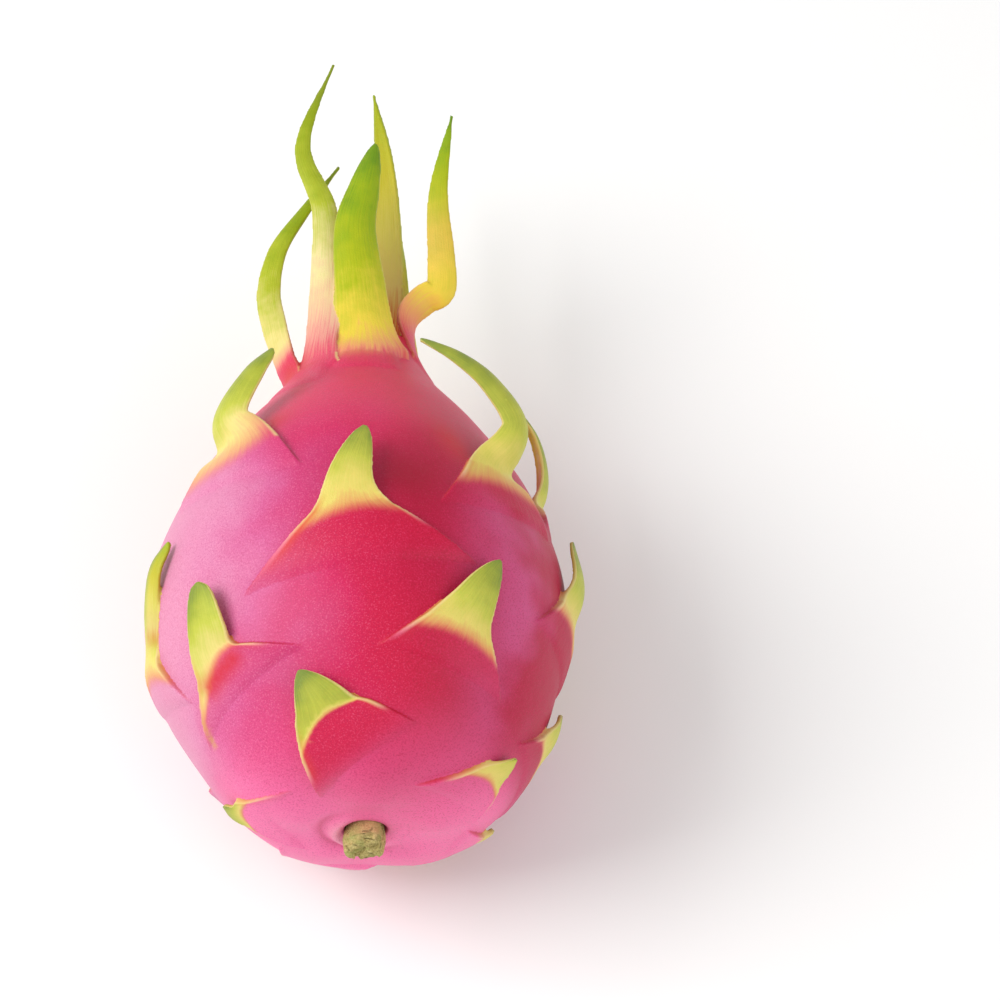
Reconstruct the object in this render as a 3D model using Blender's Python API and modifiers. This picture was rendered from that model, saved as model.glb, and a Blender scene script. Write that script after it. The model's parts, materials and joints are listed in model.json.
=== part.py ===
"""A whole dragon fruit (pitaya) lying on its side, in metres, +Z up.

The fruit's long axis lies along +Y, with the stem end at -Y and the leafy crown at +Y. The
origin is the middle of the small flat spot that the fruit rests on. The pink body and all its
scales and crown bracts grew as one piece, so they are one solid: a turned egg shape, with
leaf-shaped blades whose broad roots are sunk in the skin. The cut stem and the dried flower
scar are dead tissue of their own, and each sits in a hollow of the fruit.
"""

import math
from bisect import bisect_right
from collections import namedtuple

import bmesh
import bpy
from mathutils import Quaternion, Vector

MM = 0.001

# The body, measured from its widest place
BODY_RADIUS = 45.0 * MM
STEM_REACH = 48.5 * MM
NECK_REACH = 70.0 * MM
FLAT_SAG = 0.8 * MM
AXIS_HEIGHT = BODY_RADIUS - FLAT_SAG

# The turned outline: share of the reach to either end, and share of the body's radius
STEM_SIDE = ((1.0, 0.19), (0.995, 0.36), (0.94, 0.53), (0.82, 0.68), (0.62, 0.81), (0.40, 0.92), (0.16, 0.985))
NECK_SIDE = ((0.0, 1.0), (0.18, 0.965), (0.42, 0.825), (0.63, 0.61), (0.80, 0.395), (0.91, 0.285), (1.0, 0.225))
OUTLINE_STEPS = 3
TURN_STEPS = 48

# Slow swellings that keep the body from being perfectly round, and how far its stem end leans to +X
LUMP = 0.5 * MM
STEM_LEAN = 2.3 * MM
LEAN_START = 12.0 * MM
LEAN_END = 44.0 * MM

# The hollows at the two ends and what sits in them. The stem's opens like a funnel
STEM_HOLLOW_RADIUS = 5.0 * MM
STEM_HOLLOW_DEPTH = 3.5 * MM
FUNNEL_RADIUS = 6.2 * MM
FUNNEL_DEPTH = 0.9 * MM
STEM_RADIUS = 4.2 * MM
STEM_STANDS_OUT = 4.2 * MM
FLOWER_HOLLOW_RADIUS = 6.0 * MM
FLOWER_HOLLOW_DEPTH = 4.0 * MM
SCAR_RADIUS = 5.2 * MM
SCAR_HEIGHT = 5.5 * MM
CLEARANCE = 0.3 * MM

# How a blade grows out of the skin
ROOT_SINK = 2.0 * MM
ROOT_UNDER = 1.3 * MM
JOIN_START = -2.0 * MM
JOIN_END = 7.0 * MM
FLARE = 4.5 * MM
LEAST_HALF_WIDTH = 0.45 * MM
LEAST_THICKNESS = 0.7 * MM
TIP_THINNING = 0.62
MARGIN_THINNING = 0.72
TAPER_POWER = 1.8
ROUNDEST = 1.7
TWIST_DONE = 0.45
NEAREST_STEM = 7.0 * MM
LOWEST_BLADE = 0.3 * MM
SOFT_FLOOR = 1.2 * MM

ROOT_ROWS = 3
FEWEST_ROWS = 5
MOST_ROWS = 12
ROW_STEP = 6.0 * MM
BLADE_ACROSS = 4

# angle is round the axis, 0 on top and 90 at +X, and height is along Y from the widest place: the
# two place the blade's foot on the skin. turn is the way it then points, 0 to the crown. path holds
# the points that its free part goes through. A scale's are (forward, sideways, outward) from the
# foot, a crown bract's (x, y, up from the axis). width is its middle, foot its width where it leaves
# the skin and root how far it runs on below, widening by spread to either side. fold is how steeply its
# margins curl in.
Blade = namedtuple("Blade", "name angle height turn path width foot root twist fold thick lift point spread crown")


def scale(name, angle, height, path, width, foot, root, turn=0, twist=0, fold=14, thick=2.6, lift=1.5, point=0.7,
          spread=0.8):
    """A short scale on the body, given in millimetres and degrees."""
    return Blade(name, angle, height * MM, turn, path, width * MM, foot * MM, root * MM, twist, fold,
                 thick * MM, lift * MM, point, spread, False)


def bract(name, angle, height, path, width, foot, root, turn=0, twist=0, fold=35, thick=2.6, lift=1.0, point=0.9,
          spread=0.8):
    """A long bract of the crown, given in millimetres and degrees."""
    return Blade(name, angle, height * MM, turn, path, width * MM, foot * MM, root * MM, twist, fold,
                 thick * MM, lift * MM, point, spread, True)


# The scales on the body, from the stem end up
SCALES = (
    scale("scale_01", -84, -45.5, ((3, -0.5, 1.1), (6, 0.8, 0.4)), 8.4, 11, 10, turn=-15, lift=1.2, spread=1.3,
          thick=2),
    scale("scale_02", 62, -43, ((4, 1, 0.8), (8, 2, 0.2)), 7, 12, 11, lift=1.2),
    scale("scale_03", 130, -43, ((4, -1, 0.8), (8, -1, 0.2)), 7, 12, 11, lift=1.2),
    scale("scale_04", -152, -43, ((4, 0, 0.8), (8, 1, 0.2)), 7, 12, 11, lift=1.2),
    scale("scale_05", -9.9, -39.1, ((5.4, 1.6, 1.6), (13.1, 2.9, 1)), 13, 19, 14, turn=-36, point=0.67,
          spread=0.55),
    scale("scale_06", 94, -30, ((7, 0, 1.2), (14, 1, 0)), 10, 15, 13, turn=12),
    scale("scale_07", -130, -30, ((7, 0, 1.2), (14, -1, 0)), 10, 15, 13, turn=-8),
    scale("scale_08", 166, -31, ((6, 0, 0.8), (12, 0, -0.6)), 9, 14, 12),
    scale("scale_09", -44.8, -23.3, ((6.5, 4.2, 1.2), (14.1, 9, 0.4)), 10.7, 13.4, 12, turn=-20, lift=1.7,
          point=0.38, spread=1.5),
    scale("scale_10", 31, -20, ((8, 1, 1.8), (17, 3.4, 1)), 11, 16, 13, turn=12, fold=20, point=0.6),
    scale("scale_11", -78.3, -15.2, ((18.4, 5.6, -3.4), (25.5, 8.5, -8.5)), 7.4, 12, 14, turn=19, twist=15,
          fold=33, point=0.38),
    scale("scale_12", 80, -4, ((10, 0, 1.6), (21, -1, -1.6)), 11, 17, 14, turn=6, fold=28, point=0.6),
    scale("scale_13", 128, 0, ((9, 0, 1.6), (18, 1, -0.4)), 10, 16, 13, turn=8, fold=20, point=0.6),
    scale("scale_14", -122, 4, ((10, 0, 1.8), (20, -1, 0)), 10, 16, 13, turn=-8, fold=24, point=0.6),
    scale("scale_15", -0.2, 2.8, ((7.3, 0.9, 2.4), (19.6, 5.3, 0.2)), 9.6, 17.4, 18, turn=-8, lift=1.8, point=0.51,
          spread=1.4),
    scale("scale_16", 44.6, 19.2, ((9, 4.4, 7.6), (18, -1.6, 9.8), (24.4, -8.6, 8.8), (30.1, -14.8, 5.4)), 10.1,
          17.5, 15, turn=-8, fold=58, lift=1.8, point=0.62, spread=0.9),
    scale("scale_17", -39.8, 25.9, ((7, -2.2, 5), (17.2, 2.6, 6.8), (24.8, 5, 5.4)), 11.4, 21, 15, turn=1, fold=46,
          lift=1.8, point=0.45),
    scale("scale_18", 98, 27, ((10, 0, 6), (20, -1, 8), (29, -3, 6)), 9.5, 17, 14, fold=48),
    scale("scale_19", -106, 33, ((9, 0, 2), (18, 1, 1.5), (25, 2, -1.5)), 9, 16, 13, fold=48),
    scale("scale_20", 152, 30, ((5, 0, 7.5), (10, 0, 16), (14.5, 0.5, 24.5)), 9.5, 17, 13, fold=30),
    scale("scale_21", -150, 32, ((5, 0, 7.5), (10, 0, 17), (15, -0.5, 26.5)), 9.5, 17, 13, fold=30),
)

# The long bracts of the crown
BRACTS = (
    bract("bract_front", 4.2, 62.8, ((-0.7, 80.4, 12.7), (-2.2, 95.8, 12), (-0.4, 107.2, 11.7), (2, 119, 11.2)),
          13.7, 19, 18, fold=42, lift=1.3, point=0.5, spread=0.4),
    bract("bract_left", -40, 57, ((-8.8, 84, 9.5), (-9.6, 103, 9), (-14.8, 120, 9.5), (-8.2, 142, 10.5)),
          9.2, 14, 18, twist=42, fold=34, point=0.95),
    bract("bract_far_left", -72, 56, ((-20.5, 73, 4.5), (-22, 84, 3.2), (-20.2, 96, 2.4), (-14.4, 107, 2),
                                      (-6.8, 119, 2)),
          7, 15, 14, twist=64, fold=22, lift=0.8, point=0.75),
    bract("bract_right", 82, 65, ((10.2, 75.4, 3.4), (13.4, 80.6, 4.2), (17, 82.8, 5.6), (16.9, 91, 7.2),
                                  (16.2, 107, 9.5), (19.2, 127, 11)),
          8.2, 9, 14, twist=-84, fold=20, lift=0.8, point=0.75),
    bract("bract_behind", 168, 64, ((4.2, 88, -8), (4.3, 108, -5.5), (3.4, 124, -2.5), (0.9, 140, 0.5)),
          11, 16, 18, fold=36, point=0.75),
    bract("bract_low_right", 122, 62, ((9.4, 84, -7), (8.2, 98, -6.5), (6.4, 110, -5)), 8, 12, 15, fold=36),
    bract("bract_low_left", -140, 60, ((-8.6, 82, -9.5), (-8.6, 96, -10.5), (-6.4, 108, -9)), 8, 12, 15, fold=36),
)


def smooth(value, low, high):
    """0 below low, 1 above high and an even S between them."""
    share = min(1.0, max(0.0, (value - low) / (high - low)))
    return share * share * (3 - 2 * share)


def curve_through(points, steps):
    """Points on a smooth Catmull-Rom curve through the given ones, `steps` to each span."""
    before = tuple(2 * a - b for a, b in zip(points[0], points[1]))
    after = tuple(2 * a - b for a, b in zip(points[-1], points[-2]))
    padded = [before, *points, after]
    made = []
    for a, b, c, d in zip(padded, padded[1:], padded[2:], padded[3:]):
        for step in range(steps):
            t = step / steps
            made.append(tuple(
                0.5 * (2 * q + (r - p) * t + (2 * p - 5 * q + 4 * r - s) * t ** 2 + (3 * q - p - 3 * r + s) * t ** 3)
                for p, q, r, s in zip(a, b, c, d)
            ))
    made.append(tuple(points[-1]))
    return made


def run_lengths(points):
    """How far along the line each of its points lies."""
    made = [0.0]
    for a, b in zip(points, points[1:]):
        made.append(made[-1] + math.dist(a, b))
    return made


def between(places, values, place):
    """The value at a place, in a straight line between its two neighbours."""
    low = min(max(bisect_right(places, place) - 1, 0), len(places) - 2)
    share = (place - places[low]) / (places[low + 1] - places[low])
    share = min(1.0, max(0.0, share))
    return values[low] + (values[low + 1] - values[low]) * share


def outline_points():
    """The body's outline as (height, radius), from the stem end's rim to the neck's."""
    stem = [(-STEM_REACH * reach, BODY_RADIUS * wide) for reach, wide in STEM_SIDE]
    neck = [(NECK_REACH * reach, BODY_RADIUS * wide) for reach, wide in NECK_SIDE]
    return curve_through(stem + neck, OUTLINE_STEPS)


OUTLINE = outline_points()
HEIGHTS = [height for height, _ in OUTLINE]
RADII = [radius for _, radius in OUTLINE]
RUN = run_lengths(OUTLINE)


def lump(angle, height):
    """How far the skin swells out of the turned shape, fading towards both ends."""
    fade = 1 - smooth(abs(height) / NECK_REACH, 0.45, 0.75)
    turn = math.sin(3 * angle + 40 * height) + 0.7 * math.sin(2 * angle - 1.1 - 30 * height)
    return LUMP * fade * turn


def lean(height):
    """How far the body's middle lies to +X at this height."""
    return STEM_LEAN * smooth(-height, LEAN_START, LEAN_END)


def skin(angle, run):
    """The point of the skin at this angle (radians) and this far along the outline."""
    height = between(RUN, HEIGHTS, run)
    radius = between(RUN, RADII, run) + lump(angle, height)
    return Vector((lean(height) + radius * math.sin(angle), height, AXIS_HEIGHT + radius * math.cos(angle)))


def skin_frame(angle, run):
    """Directions at a point of the skin: towards the crown, sideways and outwards."""
    step = 1.0 * MM
    up = (skin(angle, min(run + step, RUN[-1])) - skin(angle, run - step)).normalized()
    side = Vector((math.cos(angle), 0.0, -math.sin(angle)))
    return up, side, side.cross(up).normalized()


def foot_of(b):
    """A blade's foot on the skin, and the directions forward, sideways and outward there."""
    angle, run = math.radians(b.angle), between(HEIGHTS, RUN, b.height)
    up, side, out = skin_frame(angle, run)
    turn = math.radians(b.turn)
    forward = up * math.cos(turn) + side * math.sin(turn)
    return skin(angle, run), forward, forward.cross(out), out


def spine_of(b):
    """The free blade's middle line: how far along it each step lies, its points and its frames."""
    foot, forward, side, out = foot_of(b)
    foot = foot + out * b.lift
    if b.crown:
        points = [Vector((x * MM, y * MM, AXIS_HEIGHT + z * MM)) for x, y, z in b.path]
    else:
        points = [foot + (forward * a + side * s + out * o) * MM for a, s, o in b.path]
    lead = (points[0] - foot).length
    steps = 10
    line = curve_through([foot - forward * lead * 0.6, foot, *points], steps)[steps:]
    line = [Vector(point) for point in line]
    runs = run_lengths(line)
    frames = []
    for index, point in enumerate(line):
        after, before = line[min(index + 1, len(line) - 1)], line[max(index - 1, 0)]
        ahead = (after - before).normalized()
        side = (side - ahead * side.dot(ahead)).normalized()
        turned = math.radians(b.twist) * smooth(runs[index] / runs[-1], 0, TWIST_DONE)
        across = Quaternion(ahead, turned) @ side
        frames.append((point, across, across.cross(ahead)))
    return runs, frames


def along_spine(spine, reach):
    """The point, sideways and outward directions at this reach, run on straight before the foot."""
    runs, frames = spine
    if reach <= 0:
        ahead = (frames[1][0] - frames[0][0]).normalized()
        return frames[0][0] + ahead * reach, frames[0][1], frames[0][2]
    low = min(max(bisect_right(runs, reach) - 1, 0), len(runs) - 2)
    share = (reach - runs[low]) / (runs[low + 1] - runs[low])
    return tuple(a.lerp(b, share) for a, b in zip(frames[low], frames[low + 1]))


def half_width(b, length, reach):
    """Half the blade's width at this reach along it, 0 at the foot and negative in the root."""
    middle, foot = b.width / 2, b.foot / 2
    if reach < 0:
        return foot - b.spread * reach
    share = min(1.0, reach / length)
    taper = (1 - share ** TAPER_POWER) ** b.point
    flare = (foot - middle) * math.exp(-reach / FLARE) * (1 - share)
    return max(LEAST_HALF_WIDTH, middle * taper + flare)


def thickness(b, length, reach, across):
    """The blade's thickness: fleshy at its foot, thin at its tip and margins."""
    share = min(1.0, max(0.0, reach / length))
    middle = b.thick * (1 - TIP_THINNING * share ** 0.8)
    return max(LEAST_THICKNESS, middle * (1 - MARGIN_THINNING * across ** 2))


def root_heights(b, reach, depth, across):
    """How far the root's outer and inner faces lie over the skin, fading out below the foot.

    A scale's root ends in a low step at its margins, and a crown bract's runs smoothly into the neck.
    """
    down = min(1.0, max(0.0, -reach / b.root))
    outer = b.lift * (1 - down) ** 1.2 - ROOT_SINK * smooth(down, 0.5, 1.0)
    if b.crown:
        outer -= (b.lift + ROOT_SINK / 2) * smooth(abs(across), 0.4, 1.0) * smooth(down, 0.0, 0.25)
    return outer, min(outer - depth, -ROOT_UNDER)


def wrapped_point(b, reach, offset, height):
    """A point laid on the body: reach and offset measured on the skin, height over it."""
    turn = math.radians(b.turn)
    foot_run = between(HEIGHTS, RUN, b.height)
    run = foot_run + reach * math.cos(turn) - offset * math.sin(turn)
    run = NEAREST_STEM + max(0.0, run - NEAREST_STEM)
    radius = between(RUN, RADII, run)
    angle = math.radians(b.angle) + (reach * math.sin(turn) + offset * math.cos(turn)) / radius
    return skin(angle, run) + skin_frame(angle, run)[2] * height


def blade_point(b, spine, reach, across, inside):
    """A point of the blade: its outer face, or its inner one where inside is true."""
    length = spine[0][-1]
    half = half_width(b, length, reach)
    depth = thickness(b, length, reach, across)
    outer, inner = root_heights(b, reach, depth, across)
    wrapped = wrapped_point(b, reach, across * half, inner if inside else outer)
    # Past the skin the blade follows its own middle line, and its section is part of a circle
    middle, side, out = along_spine(spine, reach)
    bend = min(math.radians(b.fold), half / (ROUNDEST * depth))
    ring = half / bend
    section = side * math.sin(across * bend) + out * math.cos(across * bend)
    free = middle - out * ring + section * (ring - (depth if inside else 0.0))
    point = wrapped.lerp(free, smooth(reach, JOIN_START, JOIN_END))
    if point.z < SOFT_FLOOR:
        spare = SOFT_FLOOR - LOWEST_BLADE
        point.z = LOWEST_BLADE + spare * math.exp((point.z - SOFT_FLOOR) / spare)
    return point


def reaches_of(b, length):
    """Where the blade's rows of points lie: in the root, then from the foot to the tip."""
    free_rows = min(MOST_ROWS, FEWEST_ROWS - 1 + round(length / ROW_STEP))
    in_root = [-b.root * (1 - step / ROOT_ROWS) for step in range(ROOT_ROWS)]
    return in_root + [length * step / free_rows for step in range(free_rows + 1)]


def make_blade(b, collection):
    """One closed blade: a flat grid given a second face, then shaped by the formulas above."""
    spine = spine_of(b)
    reaches = reaches_of(b, spine[0][-1])
    shape = bmesh.new()
    bmesh.ops.create_grid(shape, x_segments=len(reaches) - 1, y_segments=BLADE_ACROSS, size=1.0)
    outer = list(shape.verts)
    second = bmesh.ops.extrude_face_region(shape, geom=shape.faces[:])
    inner = [item for item in second["geom"] if isinstance(item, bmesh.types.BMVert)]
    for verts, inside in ((outer, False), (inner, True)):
        for vert in verts:
            row = round((vert.co.x + 1) / 2 * (len(reaches) - 1))
            vert.co = blade_point(b, spine, reaches[row], vert.co.y, inside)
    bmesh.ops.recalc_face_normals(shape, faces=shape.faces)
    mesh = bpy.data.meshes.new(b.name)
    shape.to_mesh(mesh)
    shape.free()
    made = bpy.data.objects.new(b.name, mesh)
    collection.objects.link(made)
    return made


def fixed_mesh(made):
    """Applies an object's modifiers to its mesh."""
    bpy.context.view_layer.update()
    mesh = bpy.data.meshes.new_from_object(made.evaluated_get(bpy.context.evaluated_depsgraph_get()))
    made.modifiers.clear()
    made.data = mesh
    return mesh


def turned(name, profile, steps, collection):
    """A closed shape turned about the fruit's axis from (height, radius) points."""
    mesh = bpy.data.meshes.new(name)
    verts = [(radius, height, 0.0) for height, radius in profile]
    mesh.from_pydata(verts, [(i, i + 1) for i in range(len(verts) - 1)], [])
    made = bpy.data.objects.new(name, mesh)
    collection.objects.link(made)
    screw = made.modifiers.new("turn", "SCREW")
    screw.axis = "Y"
    screw.steps = screw.render_steps = steps
    screw.use_merge_vertices = True
    screw.merge_threshold = 0.01 * MM
    mesh = fixed_mesh(made)
    shape = bmesh.new()
    shape.from_mesh(mesh)
    bmesh.ops.remove_doubles(shape, verts=shape.verts, dist=0.01 * MM)
    bmesh.ops.recalc_face_normals(shape, faces=shape.faces)
    shape.to_mesh(mesh)
    shape.free()
    return made


def make_body(collection):
    """The fruit's body: the turned outline with a hollow at each end, swellings and the flat spot."""
    stem_rim, neck_rim = OUTLINE[0][0], OUTLINE[-1][0]
    stem_floor = stem_rim + STEM_HOLLOW_DEPTH
    neck_floor = neck_rim - FLOWER_HOLLOW_DEPTH
    profile = [(stem_floor, 0.0), (stem_floor, STEM_HOLLOW_RADIUS - 0.1 * MM)]
    profile += [(stem_floor - 0.8 * MM, STEM_HOLLOW_RADIUS), (stem_rim + FUNNEL_DEPTH, FUNNEL_RADIUS)]
    profile += OUTLINE
    profile += [(neck_rim + 0.9 * MM, FLOWER_HOLLOW_RADIUS + 1.8 * MM), (neck_rim + 0.5 * MM, FLOWER_HOLLOW_RADIUS)]
    profile += [(neck_floor, FLOWER_HOLLOW_RADIUS - 0.1 * MM), (neck_floor, 0.0)]
    body = turned("fruit", profile, TURN_STEPS, collection)
    for vert in body.data.vertices:
        x, height, z = vert.co
        radius = math.hypot(x, z)
        if radius > RADII[0] - 0.1 * MM:
            angle = math.atan2(x, z)
            radius += lump(angle, height)
            x, z = radius * math.sin(angle), radius * math.cos(angle)
        vert.co = (x + lean(height), height, max(0.0, z + AXIS_HEIGHT))
    return body


def grow_together(body, blades):
    """Fuses every blade of the collection into the body, then drops the loose blades."""
    union = body.modifiers.new("grown_together", "BOOLEAN")
    union.operation = "UNION"
    union.operand_type = "COLLECTION"
    union.collection = blades
    union.solver = "EXACT"
    fixed_mesh(body)
    for loose in list(blades.objects):
        bpy.data.objects.remove(loose)
    bpy.data.collections.remove(blades)


def make_stem(collection):
    """The cut stem: a short woody stub in the hollow at the stem end, cut a little slanting."""
    rim = OUTLINE[0][0]
    floor = rim + STEM_HOLLOW_DEPTH - CLEARANCE
    end = rim - STEM_STANDS_OUT
    profile = [(end, 0.0), (end, STEM_RADIUS * 0.72), (end + 0.8 * MM, STEM_RADIUS * 0.93)]
    profile += [(end + 2.4 * MM, STEM_RADIUS), (floor, STEM_RADIUS * 0.9), (floor, 0.0)]
    stem = turned("stem_stub", profile, 16, collection)
    for vert in stem.data.vertices:
        x, height, z = vert.co
        angle = math.atan2(x, z)
        out = 1 + 0.07 * math.sin(3 * angle + 0.6) - 0.05 * math.cos(5 * angle)
        slant = 0.12 * x if height < rim - 1.0 * MM else 0.0
        vert.co = (x * out + STEM_LEAN, height + slant, z * out + AXIS_HEIGHT)
    return stem


def make_scar(collection):
    """The dried flower scar: a low ribbed plug in the hollow between the crown's bracts."""
    floor = OUTLINE[-1][0] - FLOWER_HOLLOW_DEPTH + CLEARANCE
    top = floor + SCAR_HEIGHT
    profile = [(floor, 0.0), (floor, SCAR_RADIUS * 0.9), (floor + SCAR_HEIGHT * 0.55, SCAR_RADIUS * 0.95)]
    profile += [(top - 0.6 * MM, SCAR_RADIUS * 0.7), (top, SCAR_RADIUS * 0.45), (top - 1.4 * MM, 0.0)]
    scar = turned("flower_scar", profile, 18, collection)
    for vert in scar.data.vertices:
        x, height, z = vert.co
        ribs = 1 + 0.06 * math.sin(6 * math.atan2(x, z))
        vert.co = (x * ribs, height, z * ribs + AXIS_HEIGHT)
    return scar


def finish(made, name, colour, roughness):
    """Gives an object its own material, and smooth shading on its round faces."""
    material = bpy.data.materials.new(name)
    material.use_nodes = True
    surface = material.node_tree.nodes["Principled BSDF"]
    surface.inputs["Base Color"].default_value = (*colour, 1.0)
    surface.inputs["Roughness"].default_value = roughness
    surface.inputs["Metallic"].default_value = 0.0
    made.data.materials.clear()
    made.data.materials.append(material)
    made.data.shade_smooth()
    made.data.set_sharp_from_angle(angle=math.radians(50))


def main():
    for old in list(bpy.data.objects):
        bpy.data.objects.remove(old)
    parts = bpy.data.collections.new("dragon_fruit")
    bpy.context.scene.collection.children.link(parts)
    blades = bpy.data.collections.new("blades")
    bpy.context.scene.collection.children.link(blades)
    body = make_body(parts)
    for b in SCALES + BRACTS:
        make_blade(b, blades)
    grow_together(body, blades)
    finish(body, "skin", (0.72, 0.05, 0.19), 0.42)
    finish(make_stem(parts), "stem", (0.42, 0.36, 0.14), 0.8)
    finish(make_scar(parts), "scar", (0.20, 0.12, 0.05), 0.9)


main()
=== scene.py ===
# %% [markdown]
# # A whole dragon fruit, lying on its side
# The real fruit is a pink, waxy egg. Leafy scales grow out of its skin and turn yellow and then green
# towards their tips, and a crown of long bracts stands at the neck. All of that grew as one piece.
# The measured solids come first, because every finer piece has to keep to their places and sizes.

# %% Load the measured solids
import json
import math
from bisect import bisect_right
from collections import namedtuple

import bmesh
import bpy
import numpy as np
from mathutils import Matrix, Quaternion, Vector, noise
from mathutils.bvhtree import BVHTree
from mathutils.interpolate import poly_3d_calc

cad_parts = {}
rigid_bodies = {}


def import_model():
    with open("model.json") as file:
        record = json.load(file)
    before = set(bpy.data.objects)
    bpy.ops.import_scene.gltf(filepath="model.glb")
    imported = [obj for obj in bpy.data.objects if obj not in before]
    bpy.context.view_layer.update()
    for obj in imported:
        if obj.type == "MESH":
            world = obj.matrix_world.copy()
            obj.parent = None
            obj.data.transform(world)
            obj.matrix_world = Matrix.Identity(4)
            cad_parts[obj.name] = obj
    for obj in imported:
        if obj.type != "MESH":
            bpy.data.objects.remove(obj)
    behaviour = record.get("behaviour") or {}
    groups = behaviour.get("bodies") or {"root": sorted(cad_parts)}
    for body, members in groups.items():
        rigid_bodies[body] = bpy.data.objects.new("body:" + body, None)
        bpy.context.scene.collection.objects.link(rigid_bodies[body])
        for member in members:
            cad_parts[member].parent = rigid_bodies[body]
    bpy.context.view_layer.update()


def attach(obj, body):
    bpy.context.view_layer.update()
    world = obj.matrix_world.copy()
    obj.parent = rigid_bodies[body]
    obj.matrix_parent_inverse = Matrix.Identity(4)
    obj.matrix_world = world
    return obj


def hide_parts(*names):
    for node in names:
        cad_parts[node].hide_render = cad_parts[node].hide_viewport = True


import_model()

# %% [markdown]
# ## Camera
# The photo looks down on the fruit at 60 degrees, from its stem end, so the crown points up in the
# picture. A long lens keeps the perspective weak, as in the photo. The view transform is the plain
# one, so that the pinks stay as clean as they are there.

# %% Camera at the photo's angle
MM = 0.001
CAMERA_PLACE = (0.0303, -0.3740, 0.7462)
CAMERA_TILT = math.radians(30)
CAMERA_LENS = 133.2

bpy.ops.object.camera_add(location=CAMERA_PLACE, rotation=(CAMERA_TILT, 0, 0))
camera = bpy.context.object
camera.data.lens = CAMERA_LENS
camera.data.clip_end = 50.0
bpy.context.scene.camera = camera
bpy.context.scene.view_settings.view_transform = "Standard"
print("camera lens", camera.data.lens, "mm")

# %% [markdown]
# ## The body's outline
# A fruit that grew is round but never perfect. Its outline is a smooth curve from the stem end to the
# neck, turned about the long axis, with slow swellings on top. The same few numbers as in the measured
# solid are used here, so the fine skin lies where the plain one does.

# %% Outline of the body
BODY_RADIUS = 45.0 * MM
STEM_REACH = 48.5 * MM
NECK_REACH = 70.0 * MM
AXIS_HEIGHT = BODY_RADIUS - 0.8 * MM
LUMP = 0.5 * MM
STEM_SIDE = ((1.0, 0.19), (0.995, 0.36), (0.94, 0.53), (0.82, 0.68), (0.62, 0.81), (0.40, 0.92), (0.16, 0.985))
NECK_SIDE = ((0.0, 1.0), (0.18, 0.965), (0.42, 0.825), (0.63, 0.61), (0.80, 0.395), (0.91, 0.285), (1.0, 0.225))
OUTLINE_STEPS = 8


def smooth(value, low, high):
    """0 below low, 1 above high and an even S between them."""
    share = min(1.0, max(0.0, (value - low) / (high - low)))
    return share * share * (3 - 2 * share)


def curve_through(points, steps):
    """Points on a smooth Catmull-Rom curve through the given ones, `steps` to each span."""
    before = tuple(2 * a - b for a, b in zip(points[0], points[1]))
    after = tuple(2 * a - b for a, b in zip(points[-1], points[-2]))
    padded = [before, *points, after]
    made = []
    for a, b, c, d in zip(padded, padded[1:], padded[2:], padded[3:]):
        for step in range(steps):
            t = step / steps
            made.append(tuple(
                0.5 * (2 * q + (r - p) * t + (2 * p - 5 * q + 4 * r - s) * t ** 2
                       + (3 * q - p - 3 * r + s) * t ** 3)
                for p, q, r, s in zip(a, b, c, d)
            ))
    made.append(tuple(points[-1]))
    return made


def run_lengths(points):
    """How far along the line each of its points lies."""
    made = [0.0]
    for a, b in zip(points, points[1:]):
        made.append(made[-1] + math.dist(a, b))
    return made


def between(places, values, place):
    """The value at a place, in a straight line between its two neighbours."""
    low = min(max(bisect_right(places, place) - 1, 0), len(places) - 2)
    share = (place - places[low]) / (places[low + 1] - places[low])
    share = min(1.0, max(0.0, share))
    return values[low] + (values[low + 1] - values[low]) * share


stem_half = [(-STEM_REACH * reach, BODY_RADIUS * wide) for reach, wide in STEM_SIDE]
neck_half = [(NECK_REACH * reach, BODY_RADIUS * wide) for reach, wide in NECK_SIDE]
OUTLINE = curve_through(stem_half + neck_half, OUTLINE_STEPS)
HEIGHTS = [height for height, _ in OUTLINE]
RADII = [radius for _, radius in OUTLINE]
RUN = run_lengths(OUTLINE)
print("outline:", len(OUTLINE), "points,", round(RUN[-1] / MM, 1), "mm from end to end")

# %% [markdown]
# ## Points of the skin
# Every place on the skin has an angle round the axis and a run along the outline. Two short helpers
# turn these into a point in space and into directions there, and everything that grows out of the
# skin is placed with them.

# %% Skin helpers
LUMP_FADE = (0.45, 0.75)
STEM_LEAN = 2.3 * MM
LEAN_START = 12.0 * MM
LEAN_END = 44.0 * MM


def lean(height):
    """How far the body's middle lies to +X at this height."""
    return STEM_LEAN * smooth(-height, LEAN_START, LEAN_END)


def lump(angle, height):
    """How far the skin swells out of the turned shape, fading towards both ends."""
    fade = 1 - smooth(abs(height) / NECK_REACH, *LUMP_FADE)
    turn = math.sin(3 * angle + 40 * height) + 0.7 * math.sin(2 * angle - 1.1 - 30 * height)
    return LUMP * fade * turn


def skin(angle, run):
    """The point of the skin at this angle (radians) and this far along the outline."""
    height = between(RUN, HEIGHTS, run)
    radius = between(RUN, RADII, run) + lump(angle, height)
    return Vector((lean(height) + radius * math.sin(angle), height, AXIS_HEIGHT + radius * math.cos(angle)))


def skin_frame(angle, run):
    """Directions at a point of the skin: towards the crown, sideways and outwards."""
    step = 1.0 * MM
    up = (skin(angle, min(run + step, RUN[-1])) - skin(angle, run - step)).normalized()
    side = Vector((math.cos(angle), 0.0, -math.sin(angle)))
    return up, side, side.cross(up).normalized()


print("top of the body:", [round(c / MM, 1) for c in skin(0.0, between(HEIGHTS, RUN, 0.0))], "mm")

# %% [markdown]
# ## The body
# A sphere has the right ring of faces from pole to pole, so it is the natural primitive: each of its
# rings becomes a ring of the fruit. The two poles go down into the hollows, one for the cut stem and
# one for the dried flower.

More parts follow.
